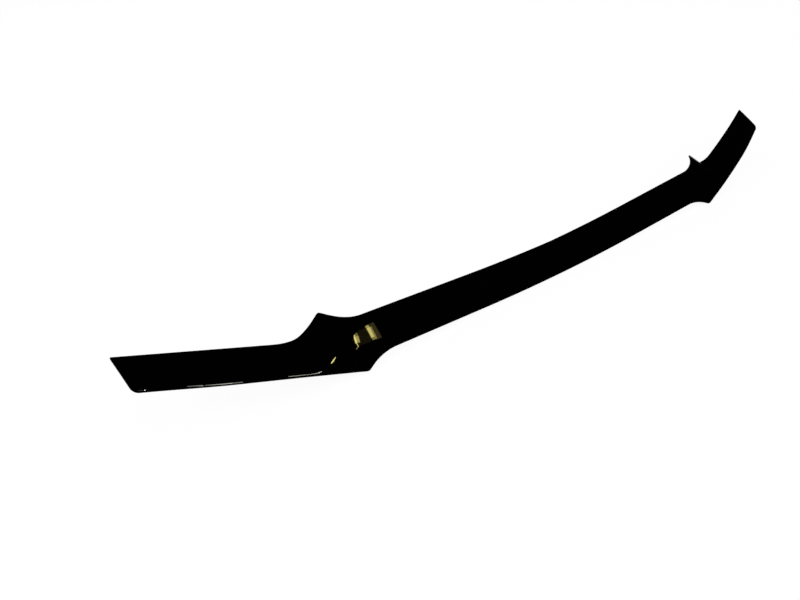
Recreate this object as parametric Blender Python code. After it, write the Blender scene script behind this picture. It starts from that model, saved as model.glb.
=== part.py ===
"""Hood bug deflector: one sheet of gloss black acrylic, drape-formed to a hood's front edge.

Metres, +Z up, the car's front towards -Y and its width along X. The origin is on the inner
face of the sheet at the middle of the car, where the sheet lies against the hood. One rule
gives the section at any distance from the middle. The sections are lofted into one half,
and that half is mirrored, given the sheet's wall and rounded along its edges.
"""
import math

import bmesh
import bpy
from mathutils import Vector

# Overall size
HALF_WIDTH = 0.725
SHEET = 0.003
EDGE_ROUND = 0.0012

# Height of the sheet from its lower to its upper edge, measured along the sheet
HEIGHT_MIDDLE = 0.0552
HEIGHT_KNEE = 0.0605
HEIGHT_END = 0.0571

# Lower edge from above (sweep) and from the front (rise): a soft nose, then a knee into each
# wing, which bends back and levels off a little towards its end
NOSE_HALF = 0.094
NOSE_SWEEP = math.radians(0.7)
NOSE_RISE = math.radians(2.4)
KNEE_X = 0.4795
KNEE_HALF = 0.039
WING_SWEEP = math.radians(13.8)
WING_RISE = math.radians(12.4)
WING_SWEEP_RADIUS = 1.77
WING_RISE_RADIUS = 2.96

# Lie of the sheet, from level: the front face stands up, the wings lie back and twist up
# again towards their ends
FRONT_ANGLE = math.radians(45.0)
WING_ANGLE = math.radians(16.4)
WING_END_ANGLE = math.radians(25.0)
SECTION_BOW = math.radians(4.0)

# Crease between front face and wing: a narrow lip along the wing, then up across the sheet
LIP = 0.005
LIP_FOLD = 0.005
CREASE_START = 0.489
CREASE_SOFT = 0.008
CREASE_ANGLE = math.radians(59.4)
FOLD_GROWTH_RATIO = 1.4

# Pointed tip on the upper edge
TIP_X = 0.4497
TIP_HEIGHT = 0.0289
TIP_INNER_RUN = 0.0552
TIP_OUTER_RUN = 0.0789
TIP_SOFT = 0.0043

# Pointed tab on the lower edge
TAB_X = 0.4209
TAB_DROP = 0.0186
TAB_INNER_RUN = 0.0579
TAB_OUTER_RUN = 0.0990
TAB_OUTER_POWER = 1.94
TAB_SOFT = 0.0023

# Wing ends
END_SLANT = 0.0056
END_SLANT_RUN = 0.125
END_UPPER_RADIUS = 0.0022
END_LOWER_RADIUS = 0.0068

# Where the sheet meets the hood at the middle, up from the lower edge
SEAT_UP = 0.014

# Fineness of the mesh
PLAIN_STEP = 0.026
SHAPED_STEP = 0.0037
CORNER_STEPS = 4
LOWER_ROWS = 2
FOLD_ROWS = 4
UPPER_ROWS = 6
FOLD_SHARE_MOST = 0.33
FOLD_MARGIN_SHARE = 0.12
WALK_STEPS = 24
EDGE_STEPS = 2
MERGE = 0.00001


def clear_scene():
    for thing in list(bpy.data.objects):
        bpy.data.objects.remove(thing, do_unlink=True)


def clamp(value, low, high):
    return max(low, min(high, value))


def blend(start, end, share):
    return start + (end - start) * share


def ramp(x, middle, half):
    """Line that is level before middle - half and climbs at 1:1 after middle + half."""
    if x >= middle + half:
        return x - middle
    run = max(0.0, x - middle + half)
    return run * run / (4.0 * half)


def ease(x, start, end):
    t = clamp((x - start) / (end - start), 0.0, 1.0)
    return t * t * (3.0 - 2.0 * t)


def arc_rise(run, span, height):
    """Arc that leaves the edge level at run 0, reaches height at span, then runs on straight."""
    radius = (span * span + height * height) / (2.0 * height)
    along = clamp(run, 0.0, span)
    slope = span / (radius - height)
    past = max(0.0, run - span)
    return radius - math.sqrt(radius * radius - along * along) + slope * past


def soft_lesser(a, b, soft):
    """The lesser of two heights, with the corner between them rounded."""
    return max(0.0, 0.5 * (a + b + soft - math.hypot(a - b, soft)))


def round_corner(a, b, radius):
    """Draw a point near a square corner, a and b in from its two sides, onto a round one."""
    if a >= radius or b >= radius:
        return a, b
    side = max(radius - a, radius - b)
    scale = side / math.hypot(radius - a, radius - b)
    return radius - (radius - a) * scale, radius - (radius - b) * scale


def wing_share(x):
    """0 at the knee and inside it, 1 at the wing's end."""
    return clamp((x - KNEE_X) / (HALF_WIDTH - KNEE_X), 0.0, 1.0)


def lower_edge(x):
    """Y and Z of the plain lower edge, without the tab."""
    nose = ramp(x, NOSE_HALF, NOSE_HALF)
    wing = ramp(x, KNEE_X, KNEE_HALF)
    past = max(0.0, x - KNEE_X)
    y = math.tan(NOSE_SWEEP) * (nose - wing) + math.tan(WING_SWEEP) * wing
    z = math.tan(NOSE_RISE) * (nose - wing) + math.tan(WING_RISE) * wing
    y += past * past / (2.0 * WING_SWEEP_RADIUS)
    z -= past * past / (2.0 * WING_RISE_RADIUS)
    return y, z


def crease(x):
    """Height of the crease up the sheet, and the width of its fold, which grows with it."""
    climb = math.tan(CREASE_ANGLE) * ramp(CREASE_START - x, 0.0, CREASE_SOFT)
    return LIP + climb, LIP_FOLD + FOLD_GROWTH_RATIO * climb


def sheet_height(x):
    inner = blend(HEIGHT_MIDDLE, HEIGHT_KNEE, clamp(x / KNEE_X, 0.0, 1.0))
    return inner + (HEIGHT_END - HEIGHT_KNEE) * wing_share(x)


def tip_rise(x):
    inner = arc_rise(x - (TIP_X - TIP_INNER_RUN), TIP_INNER_RUN, TIP_HEIGHT)
    outer = arc_rise(TIP_X + TIP_OUTER_RUN - x, TIP_OUTER_RUN, TIP_HEIGHT)
    return soft_lesser(inner, outer, TIP_SOFT)


def tab_drop(x):
    inner = arc_rise(x - (TAB_X - TAB_INNER_RUN), TAB_INNER_RUN, TAB_DROP)
    share = max(0.0, (TAB_X + TAB_OUTER_RUN - x) / TAB_OUTER_RUN)
    outer = TAB_DROP * share ** TAB_OUTER_POWER
    return soft_lesser(inner, outer, TAB_SOFT)


def sheet_limits(x):
    """Lower and upper edge of the sheet at distance x, as heights up the sheet."""
    return -tab_drop(x), sheet_height(x) + tip_rise(x)


def sheet_angle(x, up):
    """Angle of the sheet from level at a height up the sheet."""
    line, width = crease(x)
    folded = clamp((up - line) / width + 0.5, 0.0, 1.0)
    laid_back = blend(WING_ANGLE, WING_END_ANGLE, wing_share(x))
    bow = SECTION_BOW * (0.5 - up / sheet_height(x))
    return blend(FRONT_ANGLE, laid_back, folded) + bow


def section_point(x, up):
    """Y and Z of the outer face, walked up the section in short steps."""
    y, z = lower_edge(x)
    step = up / WALK_STEPS
    for i in range(WALK_STEPS):
        angle = sheet_angle(x, (i + 0.5) * step)
        y += step * math.cos(angle)
        z += step * math.sin(angle)
    return y, z


def section_rows(x):
    """Heights of the mesh rows, gathered at the crease where it lies on the sheet."""
    low, high = sheet_limits(x)
    line, width = crease(x)
    half = 0.5 * min(width, FOLD_SHARE_MOST * (high - low))
    line = min(line, high - half - FOLD_MARGIN_SHARE * (high - low))
    start, end = line - half, line + half
    rows = [blend(low, start, i / LOWER_ROWS) for i in range(LOWER_ROWS)]
    rows += [blend(start, end, i / FOLD_ROWS) for i in range(FOLD_ROWS)]
    turns = [math.pi * i / UPPER_ROWS for i in range(UPPER_ROWS + 1)]
    rows += [blend(end, high, 0.5 - 0.5 * math.cos(turn)) for turn in turns]
    return rows


def evenly(start, end, step):
    """Places from start up to, but not at, end, no further apart than step."""
    count = max(1, math.ceil((end - start) / step))
    return [blend(start, end, i / count) for i in range(count)]


def stations():
    """Distances from the middle: wide steps on plain lengths, short ones at tip, tab and end."""
    inner = min(TIP_X - TIP_INNER_RUN, TAB_X - TAB_INNER_RUN)
    outer = max(TIP_X + TIP_OUTER_RUN, TAB_X + TAB_OUTER_RUN)
    corner = max(END_LOWER_RADIUS, END_UPPER_RADIUS)
    places = evenly(0.0, inner, PLAIN_STEP)
    places += evenly(inner, outer, SHAPED_STEP)
    places += evenly(outer, HALF_WIDTH - corner, PLAIN_STEP)
    places += [HALF_WIDTH - corner * (1.0 - i / CORNER_STEPS) for i in range(CORNER_STEPS)]
    return places + [HALF_WIDTH]


def sheet_column(x):
    """One column of points up the sheet, with the wing's end leaning in at its foot."""
    rows = section_rows(x)
    low, high = rows[0], rows[-1]
    lean = END_SLANT * ease(x, HALF_WIDTH - END_SLANT_RUN, HALF_WIDTH)
    column = []
    for row in rows:
        inset, up = round_corner(HALF_WIDTH - x, row - low, END_LOWER_RADIUS)
        inset, down = round_corner(inset, high - low - up, END_UPPER_RADIUS)
        up = high - down
        y, z = section_point(HALF_WIDTH - inset, up)
        inset += lean * (high - up) / (high - low)
        column.append(Vector((HALF_WIDTH - inset, y, z)))
    return column


def seat_origin():
    """Point of the inner face at the middle of the car that becomes the origin."""
    y, z = section_point(0.0, SEAT_UP)
    angle = sheet_angle(0.0, SEAT_UP)
    return Vector((0.0, y + SHEET * math.sin(angle), z - SHEET * math.cos(angle)))


def half_sheet():
    """Outer face of one half, lofted from column to column."""
    origin = seat_origin()
    work = bmesh.new()
    columns = [sheet_column(x) for x in stations()]
    grid = [[work.verts.new(point - origin) for point in column] for column in columns]
    for near, far in zip(grid, grid[1:]):
        for i in range(len(near) - 1):
            work.faces.new((near[i], far[i], far[i + 1], near[i + 1]))
    mesh = bpy.data.meshes.new("shield")
    work.to_mesh(mesh)
    work.free()
    mesh.shade_smooth()
    return mesh


def acrylic():
    material = bpy.data.materials.new("gloss_black_acrylic")
    material.use_nodes = True
    shader = material.node_tree.nodes["Principled BSDF"]
    shader.inputs["Base Color"].default_value = (0.0012, 0.0012, 0.0014, 1.0)
    shader.inputs["Roughness"].default_value = 0.06
    shader.inputs["Metallic"].default_value = 0.0
    return material


def make_shield():
    shield = bpy.data.objects.new("shield", half_sheet())
    bpy.context.collection.objects.link(shield)
    shield.data.materials.append(acrylic())
    mirror = shield.modifiers.new("other_half", "MIRROR")
    mirror.merge_threshold = MERGE
    wall = shield.modifiers.new("sheet", "SOLIDIFY")
    wall.thickness = SHEET
    wall.offset = -1.0
    wall.use_even_offset = True
    edge = shield.modifiers.new("polished_edge", "BEVEL")
    edge.width = EDGE_ROUND
    edge.segments = EDGE_STEPS
    edge.limit_method = "ANGLE"
    edge.angle_limit = math.radians(50.0)


clear_scene()
make_shield()
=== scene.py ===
"""Hood bug deflector of gloss black acrylic, on a white studio floor, as in the photograph.

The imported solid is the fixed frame. The sheet is made again here from the part's own rules,
at finer steps, so that its reflections run smoothly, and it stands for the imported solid.
Metres, +Z up, the car's front towards -Y. The image is taken as 800 x 600.
"""

import math

import bmesh
import bpy
from mathutils import Euler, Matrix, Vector


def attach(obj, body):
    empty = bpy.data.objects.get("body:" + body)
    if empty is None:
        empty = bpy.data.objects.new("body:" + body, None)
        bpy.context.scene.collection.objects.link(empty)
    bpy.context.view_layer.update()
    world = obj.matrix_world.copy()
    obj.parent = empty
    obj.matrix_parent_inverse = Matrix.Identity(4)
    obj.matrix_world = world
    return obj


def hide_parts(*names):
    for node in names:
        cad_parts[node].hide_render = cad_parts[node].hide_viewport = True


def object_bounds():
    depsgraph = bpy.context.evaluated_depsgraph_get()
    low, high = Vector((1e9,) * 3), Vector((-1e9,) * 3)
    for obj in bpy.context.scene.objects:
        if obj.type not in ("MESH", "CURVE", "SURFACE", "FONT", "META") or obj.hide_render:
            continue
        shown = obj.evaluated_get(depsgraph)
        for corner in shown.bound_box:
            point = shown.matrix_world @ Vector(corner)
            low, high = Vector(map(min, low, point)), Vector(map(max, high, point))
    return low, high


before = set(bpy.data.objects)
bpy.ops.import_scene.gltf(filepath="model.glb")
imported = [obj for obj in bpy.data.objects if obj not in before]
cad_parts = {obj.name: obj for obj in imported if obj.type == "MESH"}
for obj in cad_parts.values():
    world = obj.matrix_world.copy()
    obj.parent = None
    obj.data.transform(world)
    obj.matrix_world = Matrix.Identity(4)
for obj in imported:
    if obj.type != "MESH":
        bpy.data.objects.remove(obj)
cad_low, cad_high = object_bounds()

# Shape of the sheet, as in the part
HALF_WIDTH = 0.725
SHEET = 0.003
EDGE_ROUND = 0.0012
HEIGHT_MIDDLE = 0.0552
HEIGHT_KNEE = 0.0605
HEIGHT_END = 0.0571
NOSE_HALF = 0.094
NOSE_SWEEP = math.radians(0.7)
NOSE_RISE = math.radians(2.4)
KNEE_X = 0.4795
KNEE_HALF = 0.039
WING_SWEEP = math.radians(13.8)
WING_RISE = math.radians(12.4)
WING_SWEEP_RADIUS = 1.77
WING_RISE_RADIUS = 2.96
FRONT_ANGLE = math.radians(45.0)
WING_ANGLE = math.radians(16.4)
WING_END_ANGLE = math.radians(25.0)
SECTION_BOW = math.radians(4.0)
LIP = 0.005
LIP_FOLD = 0.005
CREASE_START = 0.489
CREASE_SOFT = 0.008
CREASE_ANGLE = math.radians(59.4)
FOLD_GROWTH_RATIO = 1.4
TIP_X = 0.4497
TIP_HEIGHT = 0.0289
TIP_INNER_RUN = 0.0552
TIP_OUTER_RUN = 0.0789
TIP_SOFT = 0.0043
TAB_X = 0.4209
TAB_DROP = 0.0186
TAB_INNER_RUN = 0.0579
TAB_OUTER_RUN = 0.0990
TAB_OUTER_POWER = 1.94
TAB_SOFT = 0.0023
END_SLANT = 0.0056
END_SLANT_RUN = 0.125
END_UPPER_RADIUS = 0.0022
END_LOWER_RADIUS = 0.0068
SEAT_UP = 0.014

# Fineness of the sheet's mesh
PLAIN_STEP = 0.006
SHAPED_STEP = 0.0016
CORNER_STEPS = 10
LOWER_ROWS = 6
FOLD_ROWS = 12
UPPER_ROWS = 20
FOLD_SHARE_MOST = 0.33
FOLD_MARGIN_SHARE = 0.12
WALK_STEPS = 80
EDGE_STEPS = 4
EDGE_MATERIAL = 1
SHARP_TURN = math.radians(50.0)
MERGE = 0.00001

# Camera: where it stands, how it is turned and how long its lens is
CAMERA_PLACE = (-0.8437, -0.6616, 0.6444)
CAMERA_TURN_DEG = (55.32, 0.759, -37.273)
CAMERA_LENS_MM = 31.5
CAMERA_SENSOR_MM = 36.0

# Range that holds most of a noise texture's values
NOISE_LOW = 0.3
NOISE_HIGH = 0.7

# Acrylic: black through and through, a little uneven in tint and gloss, with a slow ripple
# from the draping, a fine orange peel and hairlines from wiping
BLACK_DEEP = (0.0001, 0.0001, 0.0001, 1.0)
BLACK_PALE = (0.0004, 0.0004, 0.0005, 1.0)
ACRYLIC_IOR = 1.49
TINT_SCALE = 14.0
TINT_DETAIL = 3.0
GLOSS_SCALE = 9.0
GLOSS_DETAIL = 4.0
GLOSS_SMOOTHEST = 0.008
GLOSS_HAZIEST = 0.018
HAIRLINE_STRETCH = (14.0, 900.0, 900.0)
HAIRLINE_TURNS_DEG = (3.0, -11.0)
HAIRLINE_SWAY = 0.010
HAIRLINE_SWAY_SCALE = 5.0
HAIRLINE_DETAIL = 2.0
HAIRLINE_FROM = 0.66
HAIRLINE_TO = 0.76
HAIRLINE_HAZE = 0.024
HAIRLINE_DEPTH = 0.0000002
RIPPLE_SCALE = 18.0
RIPPLE_DETAIL = 1.0
RIPPLE_HEIGHT = 0.000012
PEEL_SCALE = 260.0
PEEL_DETAIL = 2.0
PEEL_HEIGHT = 0.0000003

# Sawn and rounded edge: duller and a little paler than the faces, with scuffs along it
EDGE_DARK = (0.0014, 0.0014, 0.0016, 1.0)
EDGE_SCUFFED = (0.0060, 0.0060, 0.0064, 1.0)
EDGE_SPECULAR_LEVEL = 0.06
EDGE_SCUFF_SCALE = 90.0
EDGE_SCUFF_DETAIL = 5.0
EDGE_SCUFF_BREAKUP = 0.7
EDGE_SCUFF_FROM = 0.5
EDGE_SCUFF_TO = 0.75
EDGE_SMOOTHEST = 0.42
EDGE_ROUGHEST = 0.62
EDGE_GRAIN_SCALE = 1500.0
EDGE_GRAIN_DETAIL = 2.0
EDGE_GRAIN_HEIGHT = 0.000012

# Floor and light
FLOOR_GAP = 0.0002
FLOOR_HALF = 40.0
FLOOR_WHITE = (0.95, 0.95, 0.95, 1.0)
FLOOR_ROUGHNESS = 0.9
FLOOR_SHOWN_SHARE = 0.93
CEILING_DARK = 0.002
SKY_LEVEL = 0.96
HORIZON_FADE = 0.10
WHITE = (1.0, 1.0, 1.0)
LAMP_WARM = (1.0, 0.85, 0.25)
LAMP_STRAW = (1.0, 0.95, 0.32)
LAMP_PALE = (1.0, 1.0, 0.85)
LAMP_COOL = (0.86, 0.88, 1.0)
WINDOW_AWAY = 1.2
MIDDLE = (0.0, 0.0, 0.0)

# Places on the sheet, in the photograph's left half, that mirror a window there
FRONT_SPOT = (-0.388, 0.0135, 0.0265)
TAB_SPOT = (-0.418, 0.012, 0.026)
FOLD_SPOT = (-0.466, 0.004, 0.019)
LIP_SPOT = (-0.512, 0.0034, 0.0171)
WING_LIP_SPOT = (-0.634, 0.0385, 0.0388)
CORNER_SPOT = (-0.7057, 0.0664, 0.0514)


def clamp(value, low, high):
    return max(low, min(high, value))


def blend(start, end, share):
    return start + (end - start) * share


def ramp(x, middle, half):
    """Line that is level before middle - half and climbs at 1:1 after middle + half."""
    if x >= middle + half:
        return x - middle
    run = max(0.0, x - middle + half)
    return run * run / (4.0 * half)


def ease(x, start, end):
    t = clamp((x - start) / (end - start), 0.0, 1.0)
    return t * t * (3.0 - 2.0 * t)


def arc_rise(run, span, height):
    """Arc that leaves the edge level at run 0, reaches height at span, then runs on straight."""
    radius = (span * span + height * height) / (2.0 * height)
    along = clamp(run, 0.0, span)
    slope = span / (radius - height)
    past = max(0.0, run - span)
    return radius - math.sqrt(radius * radius - along * along) + slope * past


def soft_lesser(a, b, soft):
    """The lesser of two heights, with the corner between them rounded."""
    return max(0.0, 0.5 * (a + b + soft - math.hypot(a - b, soft)))


def round_corner(a, b, radius):
    """Draw a point near a square corner, a and b in from its two sides, onto a round one."""
    if a >= radius or b >= radius:
        return a, b
    side = max(radius - a, radius - b)
    scale = side / math.hypot(radius - a, radius - b)
    return radius - (radius - a) * scale, radius - (radius - b) * scale


def wing_share(x):
    """0 at the knee and inside it, 1 at the wing's end."""
    return clamp((x - KNEE_X) / (HALF_WIDTH - KNEE_X), 0.0, 1.0)


def lower_edge(x):
    """Y and Z of the plain lower edge, without the tab."""
    nose = ramp(x, NOSE_HALF, NOSE_HALF)
    wing = ramp(x, KNEE_X, KNEE_HALF)
    past = max(0.0, x - KNEE_X)
    y = math.tan(NOSE_SWEEP) * (nose - wing) + math.tan(WING_SWEEP) * wing
    z = math.tan(NOSE_RISE) * (nose - wing) + math.tan(WING_RISE) * wing
    y += past * past / (2.0 * WING_SWEEP_RADIUS)
    z -= past * past / (2.0 * WING_RISE_RADIUS)
    return y, z


def crease(x):
    """Height of the crease up the sheet, and the width of its fold, which grows with it."""
    climb = math.tan(CREASE_ANGLE) * ramp(CREASE_START - x, 0.0, CREASE_SOFT)
    return LIP + climb, LIP_FOLD + FOLD_GROWTH_RATIO * climb


def sheet_height(x):
    inner = blend(HEIGHT_MIDDLE, HEIGHT_KNEE, clamp(x / KNEE_X, 0.0, 1.0))
    return inner + (HEIGHT_END - HEIGHT_KNEE) * wing_share(x)


def tip_rise(x):
    inner = arc_rise(x - (TIP_X - TIP_INNER_RUN), TIP_INNER_RUN, TIP_HEIGHT)
    outer = arc_rise(TIP_X + TIP_OUTER_RUN - x, TIP_OUTER_RUN, TIP_HEIGHT)
    return soft_lesser(inner, outer, TIP_SOFT)


def tab_drop(x):
    inner = arc_rise(x - (TAB_X - TAB_INNER_RUN), TAB_INNER_RUN, TAB_DROP)
    share = max(0.0, (TAB_X + TAB_OUTER_RUN - x) / TAB_OUTER_RUN)
    outer = TAB_DROP * share ** TAB_OUTER_POWER
    return soft_lesser(inner, outer, TAB_SOFT)


def sheet_limits(x):
    """Lower and upper edge of the sheet at distance x, as heights up the sheet."""
    return -tab_drop(x), sheet_height(x) + tip_rise(x)


def sheet_angle(x, up):
    """Angle of the sheet from level at a height up the sheet."""
    line, width = crease(x)
    folded = clamp((up - line) / width + 0.5, 0.0, 1.0)
    laid_back = blend(WING_ANGLE, WING_END_ANGLE, wing_share(x))
    bow = SECTION_BOW * (0.5 - up / sheet_height(x))
    return blend(FRONT_ANGLE, laid_back, folded) + bow


def section_point(x, up):
    """Y and Z of the outer face, walked up the section in short steps."""
    y, z = lower_edge(x)
    step = up / WALK_STEPS
    for i in range(WALK_STEPS):
        angle = sheet_angle(x, (i + 0.5) * step)
        y += step * math.cos(angle)
        z += step * math.sin(angle)
    return y, z


def section_rows(x):
    """Heights of the mesh rows, gathered at the crease where it lies on the sheet."""
    low, high = sheet_limits(x)
    line, width = crease(x)
    half = 0.5 * min(width, FOLD_SHARE_MOST * (high - low))
    line = min(line, high - half - FOLD_MARGIN_SHARE * (high - low))
    start, end = line - half, line + half
    rows = [blend(low, start, i / LOWER_ROWS) for i in range(LOWER_ROWS)]
    rows += [blend(start, end, i / FOLD_ROWS) for i in range(FOLD_ROWS)]
    turns = [math.pi * i / UPPER_ROWS for i in range(UPPER_ROWS + 1)]
    rows += [blend(end, high, 0.5 - 0.5 * math.cos(turn)) for turn in turns]
    return rows


def evenly(start, end, step):
    """Places from start up to, but not at, end, no further apart than step."""
    count = max(1, math.ceil((end - start) / step))
    return [blend(start, end, i / count) for i in range(count)]


def stations():
    """Distances from the middle: wide steps on plain lengths, short ones at tip, tab and end."""
    inner = min(TIP_X - TIP_INNER_RUN, TAB_X - TAB_INNER_RUN)
    outer = max(TIP_X + TIP_OUTER_RUN, TAB_X + TAB_OUTER_RUN)
    corner = max(END_LOWER_RADIUS, END_UPPER_RADIUS)
    places = evenly(0.0, inner, PLAIN_STEP)
    places += evenly(inner, outer, SHAPED_STEP)
    places += evenly(outer, HALF_WIDTH - corner, PLAIN_STEP)
    places += [HALF_WIDTH - corner * (1.0 - i / CORNER_STEPS) for i in range(CORNER_STEPS)]
    return places + [HALF_WIDTH]


def sheet_column(x):
    """One column of points up the sheet, with the wing's end leaning in at its foot."""
    rows = section_rows(x)
    low, high = rows[0], rows[-1]
    lean = END_SLANT * ease(x, HALF_WIDTH - END_SLANT_RUN, HALF_WIDTH)
    column = []
    for row in rows:
        inset, up = round_corner(HALF_WIDTH - x, row - low, END_LOWER_RADIUS)
        inset, down = round_corner(inset, high - low - up, END_UPPER_RADIUS)
        up = high - down
        y, z = section_point(HALF_WIDTH - inset, up)
        inset += lean * (high - up) / (high - low)
        column.append(Vector((HALF_WIDTH - inset, y, z)))
    return column


def seat_origin():
    """Point of the inner face at the middle of the car that becomes the origin."""
    y, z = section_point(0.0, SEAT_UP)
    angle = sheet_angle(0.0, SEAT_UP)
    return Vector((0.0, y + SHEET * math.sin(angle), z - SHEET * math.cos(angle)))


def half_sheet():
    """Outer face of one half, lofted from column to column."""
    origin = seat_origin()
    work = bmesh.new()
    columns = [sheet_column(x) for x in stations()]
    grid = [[work.verts.new(point - origin) for point in column] for column in columns]
    for near, far in zip(grid, grid[1:]):
        for i in range(len(near) - 1):
            work.faces.new((near[i], far[i], far[i + 1], near[i + 1]))
    mesh = bpy.data.meshes.new("acrylic_sheet")
    work.to_mesh(mesh)
    work.free()
    mesh.shade_smooth()
    return mesh


def make_sheet():
    """The whole sheet: the other half, the wall and the rounded edge, as one plain mesh."""
    draft = bpy.data.objects.new("draft", half_sheet())
    bpy.context.scene.collection.objects.link(draft)
    draft.data.materials.append(acrylic_face())
    draft.data.materials.append(acrylic_edge())
    mirror = draft.modifiers.new("other_half", "MIRROR")
    mirror.merge_threshold = MERGE
    wall = draft.modifiers.new("sheet", "SOLIDIFY")
    wall.thickness = SHEET
    wall.offset = -1.0
    wall.use_even_offset = True
    wall.material_offset_rim = EDGE_MATERIAL
    edge = draft.modifiers.new("rounded_edge", "BEVEL")
    edge.width = EDGE_ROUND
    edge.segments = EDGE_STEPS
    edge.limit_method = "ANGLE"
    edge.angle_limit = SHARP_TURN
    edge.material = EDGE_MATERIAL
    graph = bpy.context.evaluated_depsgraph_get()
    mesh = bpy.data.meshes.new_from_object(draft.evaluated_get(graph))
    mesh.name = "acrylic_sheet"
    bpy.data.objects.remove(draft)
    sheet = bpy.data.objects.new("acrylic_sheet", mesh)
    bpy.context.scene.collection.objects.link(sheet)
    return sheet


def add_node(tree, kind, settings=None, **links):
    """New node with its socket values, and its inputs linked from other nodes' outputs."""
    made = tree.nodes.new(kind)
    for name, value in (settings or {}).items():
        made.inputs[name].default_value = value
    for name, source in links.items():
        tree.links.new(source, made.inputs[name])
    return made


def add_noise(tree, place, scale, detail, breakup=0.5):
    settings = {"Scale": scale, "Detail": detail, "Roughness": breakup}
    return add_node(tree, "ShaderNodeTexNoise", settings, Vector=place).outputs["Fac"]


def add_range(tree, value, source_low, source_high, low, high):
    settings = {"From Min": source_low, "From Max": source_high, "To Min": low, "To Max": high}
    return add_node(tree, "ShaderNodeMapRange", settings, Value=value).outputs["Result"]


def add_bump(tree, height, depth, normal=None):
    made = add_node(tree, "ShaderNodeBump", {"Distance": depth}, Height=height)
    if normal:
        tree.links.new(normal, made.inputs["Normal"])
    return made.outputs["Normal"]


def add_tint(tree, share, first, second):
    made = tree.nodes.new("ShaderNodeMix")
    made.data_type = "RGBA"
    made.inputs["A"].default_value = first
    made.inputs["B"].default_value = second
    tree.links.new(share, made.inputs["Factor"])
    return made.outputs["Result"]


def add_math(tree, kind, first, second):
    made = tree.nodes.new("ShaderNodeMath")
    made.operation = kind
    tree.links.new(first, made.inputs[0])
    tree.links.new(second, made.inputs[1])
    return made.outputs[0]


def add_hairlines(tree, place, turn_deg):
    """1 on fine, gently swaying lines along the sheet, 0 between them."""
    sway = add_node(tree, "ShaderNodeTexNoise", {"Scale": HAIRLINE_SWAY_SCALE}, Vector=place)
    pushed = add_node(tree, "ShaderNodeVectorMath", Vector=place)
    pushed.operation = "MULTIPLY_ADD"
    tree.links.new(sway.outputs["Color"], pushed.inputs[0])
    pushed.inputs[1].default_value = (0.0, HAIRLINE_SWAY, HAIRLINE_SWAY)
    tree.links.new(place, pushed.inputs[2])
    turned = add_node(tree, "ShaderNodeMapping", Vector=pushed.outputs["Vector"])
    turned.inputs["Rotation"].default_value = (0.0, 0.0, math.radians(turn_deg))
    turned.inputs["Scale"].default_value = HAIRLINE_STRETCH
    streaks = add_noise(tree, turned.outputs["Vector"], 1.0, HAIRLINE_DETAIL)
    return add_range(tree, streaks, HAIRLINE_FROM, HAIRLINE_TO, 0.0, 1.0)


def acrylic_face():
    material = bpy.data.materials.new("gloss_black_acrylic")
    material.use_nodes = True
    tree = material.node_tree
    shader = tree.nodes["Principled BSDF"]
    shader.inputs["IOR"].default_value = ACRYLIC_IOR
    place = tree.nodes.new("ShaderNodeTexCoord").outputs["Object"]

    cloud = add_noise(tree, place, TINT_SCALE, TINT_DETAIL)
    tree.links.new(add_tint(tree, cloud, BLACK_DEEP, BLACK_PALE), shader.inputs["Base Color"])

    lines = [add_hairlines(tree, place, turn) for turn in HAIRLINE_TURNS_DEG]
    hairlines = add_math(tree, "MAXIMUM", *lines)
    breath = add_noise(tree, place, GLOSS_SCALE, GLOSS_DETAIL)
    haze = add_range(tree, breath, NOISE_LOW, NOISE_HIGH, GLOSS_SMOOTHEST, GLOSS_HAZIEST)
    scratched = add_range(tree, hairlines, 0.0, 1.0, 0.0, HAIRLINE_HAZE)
    tree.links.new(add_math(tree, "ADD", haze, scratched), shader.inputs["Roughness"])

    ripple = add_noise(tree, place, RIPPLE_SCALE, RIPPLE_DETAIL)
    peel = add_noise(tree, place, PEEL_SCALE, PEEL_DETAIL)
    normal = add_bump(tree, ripple, RIPPLE_HEIGHT)
    normal = add_bump(tree, peel, PEEL_HEIGHT, normal)
    normal = add_bump(tree, hairlines, -HAIRLINE_DEPTH, normal)
    tree.links.new(normal, shader.inputs["Normal"])
    return material


def acrylic_edge():
    material = bpy.data.materials.new("sawn_black_edge")
    material.use_nodes = True
    tree = material.node_tree
    shader = tree.nodes["Principled BSDF"]
    shader.inputs["IOR"].default_value = ACRYLIC_IOR
    shader.inputs["Specular IOR Level"].default_value = EDGE_SPECULAR_LEVEL
    place = tree.nodes.new("ShaderNodeTexCoord").outputs["Object"]

    scuffs = add_noise(tree, place, EDGE_SCUFF_SCALE, EDGE_SCUFF_DETAIL, EDGE_SCUFF_BREAKUP)
    worn = add_range(tree, scuffs, EDGE_SCUFF_FROM, EDGE_SCUFF_TO, 0.0, 1.0)
    tree.links.new(add_tint(tree, worn, EDGE_DARK, EDGE_SCUFFED), shader.inputs["Base Color"])
    dull = add_range(tree, scuffs, NOISE_LOW, NOISE_HIGH, EDGE_SMOOTHEST, EDGE_ROUGHEST)
    tree.links.new(dull, shader.inputs["Roughness"])
    grain = add_noise(tree, place, EDGE_GRAIN_SCALE, EDGE_GRAIN_DETAIL)
    tree.links.new(add_bump(tree, grain, EDGE_GRAIN_HEIGHT), shader.inputs["Normal"])
    return material


def shown_ray(tree, path):
    """1 for rays that show a background: from the camera, off a gloss or through a clear wall."""
    seen = add_math(tree, "MAXIMUM", path.outputs["Is Camera Ray"], path.outputs["Is Glossy Ray"])
    return add_math(tree, "MAXIMUM", seen, path.outputs["Is Transmission Ray"])


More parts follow.
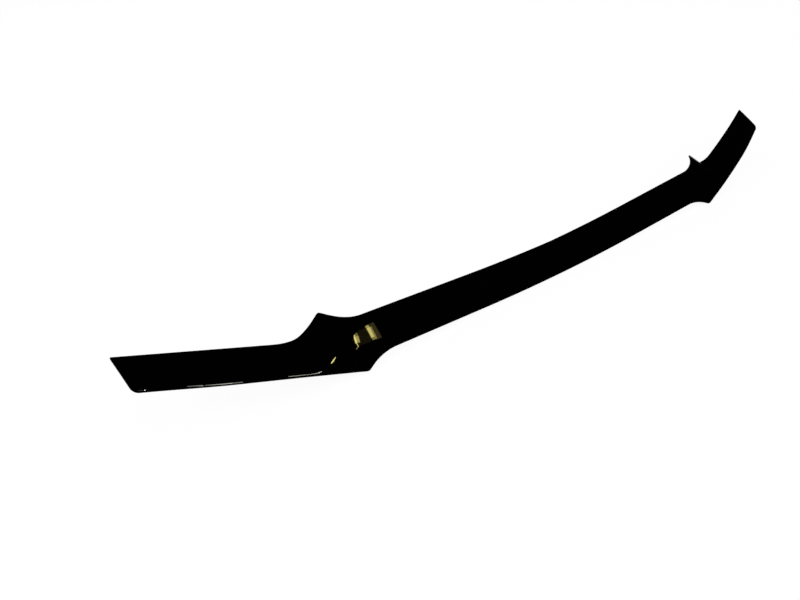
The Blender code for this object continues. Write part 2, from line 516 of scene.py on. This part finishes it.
def make_floor(height):
    """Matt white floor. Where it is seen, most of it glows white and the rest keeps the shadow."""
    bpy.ops.mesh.primitive_plane_add(size=2.0 * FLOOR_HALF, location=(0.0, 0.0, height))
    floor = bpy.context.object
    floor.name = "floor"
    material = bpy.data.materials.new("white_floor")
    material.use_nodes = True
    tree = material.node_tree
    shader = tree.nodes["Principled BSDF"]
    shader.inputs["Base Color"].default_value = FLOOR_WHITE
    shader.inputs["Roughness"].default_value = FLOOR_ROUGHNESS
    shader.inputs["Specular IOR Level"].default_value = 0.0
    glow = tree.nodes.new("ShaderNodeEmission")
    shown = shown_ray(tree, tree.nodes.new("ShaderNodeLightPath"))
    share = add_range(tree, shown, 0.0, 1.0, 0.0, FLOOR_SHOWN_SHARE)
    mix = tree.nodes.new("ShaderNodeMixShader")
    tree.links.new(share, mix.inputs[0])
    tree.links.new(shader.outputs[0], mix.inputs[1])
    tree.links.new(glow.outputs[0], mix.inputs[2])
    tree.links.new(mix.outputs[0], tree.nodes["Material Output"].inputs["Surface"])
    floor.data.materials.append(material)


def make_world():
    """White for the camera, and in gloss white to the horizon with a dark ceiling above it."""
    world = bpy.data.worlds.new("studio")
    bpy.context.scene.world = world
    world.use_nodes = True
    tree = world.node_tree
    back = tree.nodes["Background"]
    back.inputs["Color"].default_value = (*WHITE, 1.0)
    path = tree.nodes.new("ShaderNodeLightPath")
    toward = tree.nodes.new("ShaderNodeTexCoord").outputs["Generated"]
    split = add_node(tree, "ShaderNodeSeparateXYZ", Vector=toward)
    settings = {"From Min": 0.0, "From Max": HORIZON_FADE, "To Min": 1.0, "To Max": CEILING_DARK}
    fade = add_node(tree, "ShaderNodeMapRange", settings, Value=split.outputs["Z"])
    fade.interpolation_type = "SMOOTHSTEP"
    shade = add_math(tree, "MAXIMUM", path.outputs["Is Camera Ray"], fade.outputs["Result"])
    level = tree.nodes.new("ShaderNodeMix")
    level.data_type = "FLOAT"
    level.inputs["A"].default_value = SKY_LEVEL
    tree.links.new(shown_ray(tree, path), level.inputs["Factor"])
    tree.links.new(shade, level.inputs["B"])
    tree.links.new(level.outputs["Result"], back.inputs["Strength"])


def make_lamp(name, place, aim, size, glow, colour=WHITE, turn_deg=0.0, shape="RECTANGLE"):
    """Flat lamp at place, facing aim. size is its width and height, glow its brightness."""
    lamp = bpy.data.lights.new(name, "AREA")
    lamp.shape = shape
    lamp.size, lamp.size_y = size
    filled = math.pi / 4.0 if shape == "ELLIPSE" else 1.0
    lamp.energy = glow * math.pi * filled * size[0] * size[1]
    lamp.color = colour
    thing = bpy.data.objects.new(name, lamp)
    bpy.context.scene.collection.objects.link(thing)
    away = Vector(place) - Vector(aim)
    thing.location = place
    facing = away.to_track_quat("Z", "Y")
    turn = Euler((0.0, 0.0, math.radians(turn_deg))).to_quaternion()
    thing.rotation_euler = (facing @ turn).to_euler()
    thing.visible_camera = False


def make_window(name, spot, azimuth_deg, elevation_deg, size, turn_deg, glow, colour,
                shape="RECTANGLE"):
    """Small far lamp that the sheet mirrors at a spot, seen from there in that direction.

    Azimuth 0 is the car's back and 90 its left side. Elevation is up from level.
    """
    azimuth, elevation = math.radians(azimuth_deg), math.radians(elevation_deg)
    level = math.cos(elevation)
    away = Vector((math.sin(azimuth) * level, math.cos(azimuth) * level, math.sin(elevation)))
    place = Vector(spot) + WINDOW_AWAY * away
    make_lamp(name, place, spot, size, glow, colour, turn_deg, shape)


def make_windows():
    """The windows and lamps of the photograph's room, as the sheet's highlights show them."""
    make_window("front_bright", FRONT_SPOT, 140.89, 41.16, (0.0107, 0.0895), -28.0, 9.1, LAMP_WARM)
    make_window("front_middle", FRONT_SPOT, 141.21, 40.34, (0.0152, 0.0904), -28.0, 4.9, LAMP_WARM)
    make_window("front_dim", FRONT_SPOT, 140.40, 40.36, (0.0201, 0.1184), -27.5, 0.75, LAMP_WARM)
    make_window("tab_bright", TAB_SPOT, 142.56, 41.44, (0.0048, 0.0579), -31.5, 16.4, LAMP_WARM)
    make_window("tab_middle", TAB_SPOT, 142.06, 41.45, (0.0105, 0.0620), -31.5, 3.7, LAMP_WARM)
    make_window("tab_dim", TAB_SPOT, 142.65, 40.86, (0.0151, 0.0486), -33.0, 5.0, LAMP_WARM)
    make_window("tab_faint", TAB_SPOT, 141.12, 40.47, (0.0432, 0.0990), -39.5, 0.16, LAMP_WARM)
    make_window("tab_hook", TAB_SPOT, 143.84, 39.67, (0.0020, 0.0312), -26.0, 17.9, LAMP_WARM)
    make_window("tab_barb", TAB_SPOT, 144.67, 38.90, (0.0026, 0.0141), -69.5, 7.7, LAMP_WARM)
    make_window("fold_leaf", FOLD_SPOT, 148.83, 41.5, (0.020, 0.056), -50.0, 20.0, LAMP_STRAW,
                "ELLIPSE")
    make_window("leaf_foot", FOLD_SPOT, 149.25, 40.65, (0.024, 0.034), -45.0, 4.0, LAMP_WARM,
                "ELLIPSE")
    make_window("lip_hook", LIP_SPOT, 153.6, 39.54, (0.024, 0.013), -12.9, 20, LAMP_PALE)
    make_window("lip_right", LIP_SPOT, 157.04, 40.26, (0.102, 0.008), -23.4, 17, LAMP_PALE)
    make_window("lip_left", LIP_SPOT, 162.43, 42.59, (0.0942, 0.018), -25.3, 14, LAMP_PALE)
    make_window("wing_right", WING_LIP_SPOT, 173.72, 43.78, (0.048, 0.007), -16.7, 4.5, LAMP_PALE)
    make_window("wing_line", WING_LIP_SPOT, 180.21, 44.8, (0.146, 0.006), -9.9, 11, LAMP_PALE)
    make_window("wing_left", WING_LIP_SPOT, 187.96, 46.25, (0.075, 0.045), -8.6, 5.5, LAMP_PALE)
    make_window("corner_spark", CORNER_SPOT, 197.88, 44.4, (0.0038, 0.032), -7.5, 40.0, LAMP_COOL)
    make_window("corner_tail", CORNER_SPOT, 198.82, 44.7, (0.015, 0.040), 0.0, 1.2, LAMP_COOL)


def make_softboxes():
    """Large soft lamps for the other sides. In the photograph's view the sheet mirrors none."""
    make_lamp("softbox_left", (-2.1, 0.3, 0.95), MIDDLE, (1.3, 0.7), 2.0)
    make_lamp("softbox_back", (-0.2, 2.2, 1.2), MIDDLE, (1.6, 0.7), 2.0)
    make_lamp("softbox_front", (-2.2, -0.75, 1.2), MIDDLE, (1.0, 0.8), 1.5)


def make_camera():
    camera = bpy.data.cameras.new("camera")
    camera.lens = CAMERA_LENS_MM
    camera.sensor_width = CAMERA_SENSOR_MM
    camera.sensor_fit = "HORIZONTAL"
    thing = bpy.data.objects.new("camera", camera)
    bpy.context.scene.collection.objects.link(thing)
    thing.location = CAMERA_PLACE
    thing.rotation_euler = [math.radians(turn) for turn in CAMERA_TURN_DEG]
    bpy.context.scene.camera = thing


make_camera()

sheet = make_sheet()
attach(sheet, "root")
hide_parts("shield")

make_floor(cad_low.z - FLOOR_GAP)
make_world()

make_windows()
make_softboxes()

bpy.context.scene.view_settings.view_transform = "Standard"
